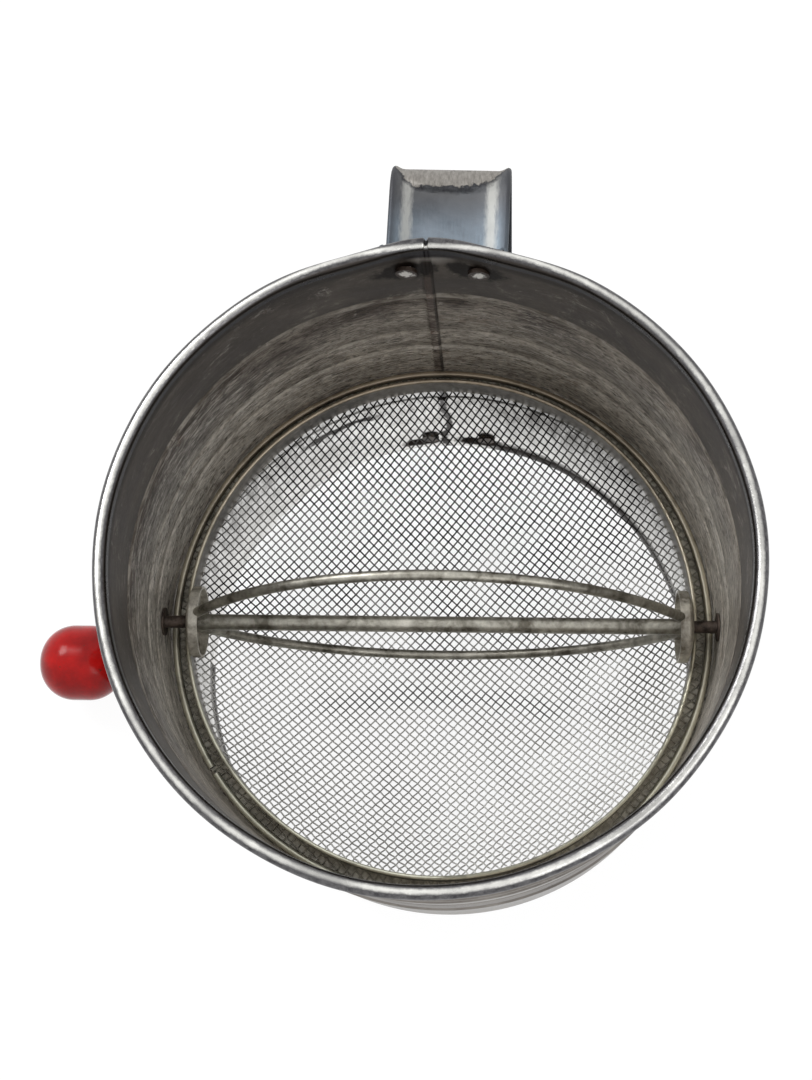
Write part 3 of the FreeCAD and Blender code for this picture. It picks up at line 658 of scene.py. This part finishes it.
def knob_paint():
    """Glossy red enamel with worn pale patches and small chips."""
    tree = Look("knob_paint")
    point = tree.place()
    cloud = tree.noise(point, 120, 4, 0.6)
    colour = tree.mix(tree.ramp(cloud, 0.35, 0.65), tint(138, 8, 8), tint(182, 16, 14))
    chips = tree.ramp(tree.noise(point, 330, 4, 0.7, 0.4), 0.66, 0.69)
    colour = tree.mix(tree.times(chips, 0.8), colour, tint(88, 34, 26))
    tree.bump(cloud, 0.12, 0.0004)
    rough = tree.ramp(cloud, 0.3, 0.7, 0.12, 0.24)
    return tree.finish(colour, metal=0.0, rough=rough, gloss=0.22)


def share(value, start, span):
    """How far a value has come from a start over a span, from 0 to 1."""
    return min(1.0, max(0.0, (value - start) / span))


def turns(steps):
    """Even angles once around."""
    return [2 * math.pi * number / steps for number in range(steps)]


def polar(radius, angle):
    """The two parts of a point at a radius and an angle."""
    return radius * math.cos(angle), radius * math.sin(angle)


def unit(rows):
    """Arrows, one to a row, each made one long."""
    return rows / np.linalg.norm(rows, axis=1)[:, None]


def show(name, points, faces, material, body, slot, sharp=35.0):
    """Make one shown piece from points in millimetres and let it ride on a body."""
    mesh = bpy.data.meshes.new(name)
    mesh.from_pydata((np.asarray(points) * MM).tolist(), [], faces)
    mesh.validate()
    shell = bmesh.new()
    shell.from_mesh(mesh)
    bmesh.ops.recalc_face_normals(shell, faces=shell.faces)
    shell.to_mesh(mesh)
    shell.free()
    mesh.shade_smooth()
    mesh.set_sharp_from_angle(angle=math.radians(sharp))
    mesh.materials.append(material)
    piece = bpy.data.objects.new(name, mesh)
    bpy.context.scene.collection.objects.link(piece)
    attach(piece, body)
    return piece


def ring_faces(rings, size, closed=True):
    """Faces that join rings of points, closed to a loop of rings or with end caps."""
    faces = []
    for ring in range(rings if closed else rings - 1):
        here = ring * size
        after = ((ring + 1) % rings) * size
        for number in range(size):
            beside = (number + 1) % size
            faces.append((here + number, after + number, after + beside, here + beside))
    if not closed:
        faces.append(tuple(range(size)))
        faces.append(tuple(range(rings * size - 1, (rings - 1) * size - 1, -1)))
    return faces


def arc(centre, radius, start, end, steps):
    """Points of an arc in the plane, angles in degrees."""
    angles = np.radians(np.linspace(start, end, steps))
    return [(centre[0] + radius * math.cos(a), centre[1] + radius * math.sin(a)) for a in angles]


def rib(radius, middle, rise, height, steps=9):
    """A rolled rib as a smooth swell of the wall's line, from below to above."""
    levels = np.linspace(-1, 1, steps)
    return [(radius + rise * math.cos(math.pi * level / 2) ** 2, middle + level * height / 2)
            for level in levels]


def wall_line(radius):
    """One side of the wall from the hem to the rim, with its ribs and the sieve's seat."""
    line = [(radius, level) for level in PLAIN_LEVELS]
    for level, rise, height in SWELLS:
        line += rib(radius, level, rise, height)
    return sorted(line, key=lambda point: point[1])


def bent(from_seam, height):
    """How far the wall leans outwards, at an angle from the seam and a height."""
    angle = SEAM_ANGLE + from_seam
    dent = sum(depth * math.sin(waves * angle + start) for depth, waves, start in DENTS)
    pinch = -sum(depth * math.exp(-((from_seam - place) / width) ** 2)
                 for depth, place, width in PINCHES)
    peak = PEAK * math.exp(-(from_seam / PEAK_WIDTH) ** 2)
    lean = (dent - DENT_MOST) * DENT_SHARE + pinch
    lean = lean * share(height, BENT_FROM, BENT_OVER) ** 2
    return lean + peak * share(height, PEAK_FROM, PEAK_OVER)


def make_can(material):
    """The can as one turned sheet, with a lapped seam, a notched rim and shallow dents."""
    inner = CAN_RADIUS - WALL
    bead = RIM_BEAD / 2
    curl = (inner + bead, CAN_HEIGHT - bead)
    rim = CAN_HEIGHT - RIM_BEAD
    hem = CAN_RADIUS - HEM_THICKNESS
    profile = [(CAN_RADIUS, 0.0), (hem, 0.0), (hem, HEM_HEIGHT)]
    profile += [(inner, HEM_HEIGHT + HEM_THICKNESS - WALL)]
    profile += wall_line(inner)
    profile += arc(curl, bead, 180, -90, steps=28)
    profile += arc(curl, bead - WALL, -90, 180, steps=22)
    profile += wall_line(CAN_RADIUS)[::-1]
    even = np.linspace(-math.pi, math.pi, CAN_STEPS + 1)[:-1]
    close = np.linspace(-SEAM_HALF, SEAM_HALF, SEAM_STEPS) / CAN_RADIUS
    even = even[np.abs(even) > close[-1] + SEAM_CLEAR]
    around = np.sort(np.concatenate((even, close)))
    points = []
    for from_seam in around:
        across = from_seam * CAN_RADIUS
        lap = SEAM_LAP * share(across, LAP_START, LAP_RISE) * share(across, LAP_END, -LAP_FALL)
        notch = NOTCH_DEPTH * max(0.0, 1 - abs(across - NOTCH_MIDDLE) / NOTCH_HALF)
        for radius, height in profile:
            shift = bent(from_seam, height)
            if radius <= inner and HEM_HEIGHT < height < rim:
                shift -= lap
            if radius > inner and height > rim:
                radius += (curl[0] - radius) * notch
                height += (curl[1] - height) * notch
            points.append((*polar(radius + shift, SEAM_ANGLE + from_seam), height))
    faces = ring_faces(len(around), len(profile))
    can = show("can_skin", points, faces, material, "can", "can_tin", sharp=50)
    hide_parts("can_body")


def cloth_net():
    """The crossings of the cloth's wires, as directions from the bowl's centre."""
    count = int(CLOTH_TURN * BOWL / MESH_PITCH) + 2
    cosine = 1 - MESH_PITCH ** 2 / (2 * BOWL ** 2)
    step = math.acos(cosine)
    down = np.array((0.0, 0.0, -1.0))
    first = np.array((math.cos(MESH_ANGLE), math.sin(MESH_ANGLE), 0.0))
    second = np.array((-math.sin(MESH_ANGLE), math.cos(MESH_ANGLE), 0.0))
    net = np.full((2 * count + 1, 2 * count + 1, 3), np.nan)
    for number in range(-count, count + 1):
        fall, reach = math.cos(step * number) * down, math.sin(step * number)
        net[number + count, count] = fall + reach * first
        net[count, number + count] = fall + reach * second
    # Each new crossing is one pitch from its two neighbours
    quarters = [(side_i, side_j) for side_i in (1, -1) for side_j in (1, -1)]
    for side_i, side_j in quarters:
        for i in range(1, count + 1):
            for j in range(1, count + 1):
                row, before_row = count + side_i * i, count + side_i * (i - 1)
                column, before_column = count + side_j * j, count + side_j * (j - 1)
                a = net[before_row, column]
                b = net[row, before_column]
                start = net[before_row, before_column]
                total = a + b
                middle = total * (2 * cosine / (total @ total))
                normal = np.cross(a, b)
                reach = (1 - middle @ middle) / max(normal @ normal, 1e-12)
                if not reach > 0:
                    continue
                offset = normal * math.sqrt(reach)
                ends = (middle - offset, middle + offset)
                net[row, column] = max(ends, key=lambda end: np.linalg.norm(end - start))
    return net


def laid(direction, lift):
    """A point of the cloth and its upper side, for a direction from the bowl's centre."""
    turn = math.acos(max(-1.0, min(1.0, -direction[2])))
    if turn <= BOWL_TURN:
        return BOWL_CENTRE + direction * (BOWL - lift), -direction
    flat = direction[:2] / np.linalg.norm(direction[:2])
    radius = BOWL_EDGE + (turn - BOWL_TURN) * BOWL
    return np.array((*(flat * radius), FLANGE + lift)), np.array((0.0, 0.0, 1.0))


def add_wire(run, points, faces):
    """One wire as a closed tube, where it has points enough."""
    if len(run) <= 2:
        return
    line = np.array([item[0] for item in run])
    normal = np.array([item[1] for item in run])
    ahead = unit(np.gradient(line, axis=0))
    across = unit(np.cross(ahead, normal))
    up = np.cross(across, ahead)
    start = len(points)
    for place, side, rise in zip(line, across, up):
        for angle in turns(WIRE_SIDES):
            spoke = math.cos(angle) * side + math.sin(angle) * rise
            points.append(place + MESH_WIRE / 2 * spoke)
    for face in ring_faces(len(line), WIRE_SIDES, False):
        faces.append(tuple(start + corner for corner in face))


def wires(net, along_first):
    """All wires of one set, as points and faces of thin tubes."""
    points = []
    faces = []
    for i in range(len(net)):
        run = []
        for j in range(len(net)):
            direction = net[j, i] if along_first else net[i, j]
            if np.isnan(direction[0]) or math.acos(-direction[2]) > CLOTH_TURN:
                add_wire(run, points, faces)
                run = []
                continue
            over = 1 if ((i + j) % 2 == 0) == along_first else -1
            if run:
                half = run[-1][2] + direction
                half = half / np.linalg.norm(half)
                run.append((*laid(half, 0.0), half))
            run.append((*laid(direction, over * MESH_LIFT), direction))
        add_wire(run, points, faces)
    return points, faces


def make_mesh(material):
    """The woven cloth: two sets of wires laid as an even net over the round bowl."""
    net = cloth_net()
    warp = show("mesh_warp", *wires(net, True), material, "can", "sieve_wire", sharp=180)
    weft = show("mesh_weft", *wires(net, False), material, "can", "sieve_wire", sharp=180)
    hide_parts("screen_cloth")
    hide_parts("screen_cloth")


def make_hem(material, steps=180):
    """The cloth's folded edge under the two rings, a flat band."""
    low = SCREEN_HEIGHT - CLOTH + HEM_LIFT
    high = low + HEM_SHEET
    section = [(HEM_INSIDE, low), (FLANGE_RADIUS, low), (FLANGE_RADIUS, high), (HEM_INSIDE, high)]
    points = []
    for angle in turns(steps):
        points += [(*polar(radius, angle), height) for radius, height in section]
    faces = ring_faces(steps, len(section))
    band = show("mesh_hem", points, faces, material, "can", "sieve_wire", sharp=40)
    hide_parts("screen_cloth")


def make_cups(material, steps=64):
    """The two end cups on the shaft: a dished face on the outside and a short skirt."""
    corner = CUP_RADIUS - CUP_CORNER
    skirt = CUP_RADIUS - CUP_SHEET
    edge = CUP_FACE - CUP_DEPTH
    profile = [(CUP_FACE, CUP_HOLE)]
    for part in np.linspace(0, 1, 9)[1:]:
        profile.append((CUP_FACE - CUP_DISH * part ** 2, CUP_HOLE + (corner - CUP_HOLE) * part))
    shoulder = profile[-1][0]
    profile += arc((shoulder - CUP_CORNER, corner), CUP_CORNER, 60, 90, steps=4)
    profile += [(edge, CUP_RADIUS), (edge, skirt), (shoulder - CUP_INNER_CORNER[0], skirt)]
    profile += [(shoulder - CUP_SHEET, CUP_RADIUS - CUP_INNER_CORNER[1])]
    profile += [(CUP_FACE - CUP_SHEET, CUP_HOLE)]
    faces = ring_faces(steps, len(profile))
    for side, name in ((-1, "left"), (1, "right")):
        points = []
        for angle in turns(steps):
            for reach, radius in profile:
                across, up = polar(radius, angle)
                points.append((side * reach, SHAFT[0] + across, SHAFT[1] + up))
        cup = show(f"{name}_cup_skin", points, faces, material, "crank", "agitator_tin", sharp=40)
        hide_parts(f"{name}_end_cup")


def handle_path():
    """The strap's line in the plane of reach and height, from the rim to the foot."""
    tab = CAN_RADIUS + STRAP_GAP + STRAP / 2
    root = tab + HANDLE_BEND
    out = HANDLE_REACH - HANDLE_BEND
    line = [(tab, HANDLE_TOP), (tab, HANDLE_TOP - TAB_STRAIGHT)]
    line += arc((root, UPPER_LEG + HANDLE_BEND), HANDLE_BEND, 180, 270, steps=14)
    line += [(out - LEG_STRAIGHT, UPPER_LEG)]
    line += arc((out, UPPER_LEG - HANDLE_BEND), HANDLE_BEND, 90, 0, steps=36)
    line += [(HANDLE_REACH, level) for level in GRIP_LEVELS]
    line += arc((out, LOWER_LEG + HANDLE_BEND), HANDLE_BEND, 0, -90, steps=14)
    line += arc((root, LOWER_LEG - HANDLE_BEND), HANDLE_BEND, 90, 180, steps=14)
    line += [(tab, HANDLE_BOTTOM + TAB_STRAIGHT), (tab, HANDLE_BOTTOM)]
    return np.array(line)


def left_of(line):
    """The direction to the left of a line in the plane, at each of its points."""
    ahead = unit(np.gradient(line, axis=0))
    return np.column_stack((-ahead[:, 1], ahead[:, 0]))


def make_handle(material):
    """The strap: a shallow trough of sheet with both edges folded down."""
    low = -STRAP / 2 + STRAP_SHEET / 2
    crest = 2 * EDGE_ROLL - STRAP / 2 - STRAP_SHEET / 2 - EDGE_ROOM
    # The middle line of the sheet from the strap's middle over its slope to the folded edge
    edge = STRAP_WIDTH / 2 - STRAP_SHEET / 2 - EDGE_FOLD
    web = [(across, low) for across in np.linspace(0, STRAP_FLAT, 5)]
    for part in np.linspace(0, 1, 13)[1:-1]:
        across = STRAP_FLAT + (edge - STRAP_FLAT) * part
        web.append((across, low + (crest - low) * part ** 2))
    web += arc((edge, crest - EDGE_FOLD), EDGE_FOLD, 110, 0, steps=8)
    web += [(edge + EDGE_FOLD, crest - EDGE_LIP)]
    middle = np.array([(-across, out) for across, out in web[:0:-1]] + web)
    half_sheet = left_of(middle) * STRAP_SHEET / 2
    section = np.vstack((middle - half_sheet, (middle + half_sheet)[::-1]))
    spine = np.vstack((middle, middle[::-1]))
    line = handle_path()
    top = crest - POP_UNDER_EDGE
    points = []
    for place, side in zip(line, left_of(line)):
        for (across, out), (_, level) in zip(section, spine):
            # The web pops up at the upper bend, first at its middle
            if place[1] > POP_ABOVE:
                crease = POP_RISE * (across / POP_HALF) ** 4
                lift = share(place[0] - POP_FROM, crease, POP_OVER)
                out += lift * max(0.0, top - level)
            reach, height = place + side * out
            x = across * math.cos(HANDLE_TURN) - reach * math.sin(HANDLE_TURN)
            y = across * math.sin(HANDLE_TURN) + reach * math.cos(HANDLE_TURN)
            points.append((x, y, height))
    faces = ring_faces(len(line), len(section), False)
    strap = show("handle_skin", points, faces, material, "can", "handle_tin", sharp=40)
    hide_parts("handle_strap")


def dress(names, material, sharp=35.0):
    """Give CAD pieces their material and smooth shading."""
    for name in names:
        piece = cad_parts[name]
        piece.data.materials.clear()
        piece.data.materials.append(material)
        piece.data.shade_smooth()
        piece.data.set_sharp_from_angle(angle=math.radians(sharp))


def make_stage():
    """A white floor that keeps a faint shadow, white surroundings and soft lamps."""
    scene = bpy.context.scene
    scene.view_settings.view_transform = "Standard"
    sky = Tree(bpy.data.worlds.new("surroundings"))
    scene.world = sky.owner
    # Bright overhead and dimmer towards the horizon
    level = sky.split(sky.add("ShaderNodeTexCoord").outputs["Generated"])[2]
    light = sky.nodes["Background"]
    sky.put(light.inputs[0], WHITE)
    sky.put(light.inputs[1], sky.ramp(level, *SKY))
    white = sky.add("ShaderNodeBackground", {0: WHITE})
    sky.choose(sky.seen(), light, white, "World Output")

    ground = Tree(bpy.data.materials.new("white_floor"))
    glow = ground.add("ShaderNodeEmission", {0: WHITE, 1: FLOOR_GLOW})
    faint = ground.add("ShaderNodeBsdfDiffuse", {0: (FLOOR_FAINT, FLOOR_FAINT, FLOOR_FAINT, 1)})
    bright = ground.add("ShaderNodeAddShader", {0: glow.outputs[0], 1: faint.outputs[0]})
    plain = ground.add("ShaderNodeBsdfDiffuse", {0: (FLOOR_PLAIN, FLOOR_PLAIN, FLOOR_PLAIN, 1)})
    ground.choose(ground.seen(), plain, bright, "Material Output")
    bpy.ops.mesh.primitive_plane_add(size=FLOOR_SIZE, location=(0, 0, FLOOR_LEVEL))
    floor = bpy.context.object
    floor.name = "floor"
    floor.data.materials.append(ground.owner)

    for name, place, size, power in LAMPS:
        lamp = bpy.data.lights.new(name, "AREA")
        lamp.shape = "DISK"
        lamp.size = size
        lamp.energy = power
        holder = bpy.data.objects.new(name, lamp)
        scene.collection.objects.link(holder)
        holder.location = place
        aim = Vector(LAMP_AIM) - Vector(place)
        holder.rotation_euler = aim.to_track_quat("-Z", "Y").to_euler()


def make_camera():
    """The photograph's camera, from its place, direction and roll."""
    level = math.cos(CAMERA_ELEVATION)
    back = Vector((math.sin(CAMERA_YAW) * level, -math.cos(CAMERA_YAW) * level,
                   math.sin(CAMERA_ELEVATION)))
    side = Vector((0, 0, 1)).cross(back).normalized()
    above = back.cross(side)
    right = math.cos(CAMERA_ROLL) * side + math.sin(CAMERA_ROLL) * above
    up = back.cross(right)
    lens = bpy.data.cameras.new("camera")
    lens.sensor_fit = "VERTICAL"
    lens.sensor_height = SENSOR
    lens.lens = FOCAL_PIXELS / PICTURE_HEIGHT * SENSOR
    lens.clip_start = NEAREST
    camera = bpy.data.objects.new("camera", lens)
    bpy.context.scene.collection.objects.link(camera)
    turn = Matrix((right, up, back)).transposed().to_4x4()
    camera.matrix_world = Matrix.Translation(Vector(CAMERA_PLACE) * MM) @ turn
    bpy.context.scene.camera = camera


make_stage()
make_camera()
tin = CanTin().made()
make_can(tin)
make_mesh(sieve_wire())
hem_look = worn_tin("hem_tin", tint(150, 144, 130), tint(246, 242, 228), rough=0.5, metal=0.3)
make_hem(hem_look)
make_handle(handle_tin())
pale_wire = worn_tin("agitator_tin", tint(104, 100, 90), tint(200, 197, 186))
ring_look = ring_tin()
steel = rust_steel("dark_steel", tint(52, 44, 40), tint(104, 92, 84))
dark_rivet = rust_steel("dark_rivet", tint(34, 28, 25), tint(92, 80, 70))
dress(("rim_wire",), tin)
dress(("screen_inner_ring", "screen_outer_ring"), ring_look)
dress(("agitator_tube", "upper_hoop", "lower_hoop"), pale_wire)
cup_look = worn_tin("cup_tin", tint(122, 115, 104), tint(232, 228, 216), rough=0.45, metal=0.6)
make_cups(cup_look)
dress(("crank_rod", "crank_washer", "end_washer"), steel)
dress(("left_eyelet", "right_eyelet", "knob_washer"), steel)
dress(("upper_handle_rivets",), rivet_tin())
dress(("lower_handle_rivets",), dark_rivet)
dress(("knob",), knob_paint(), sharp=60)
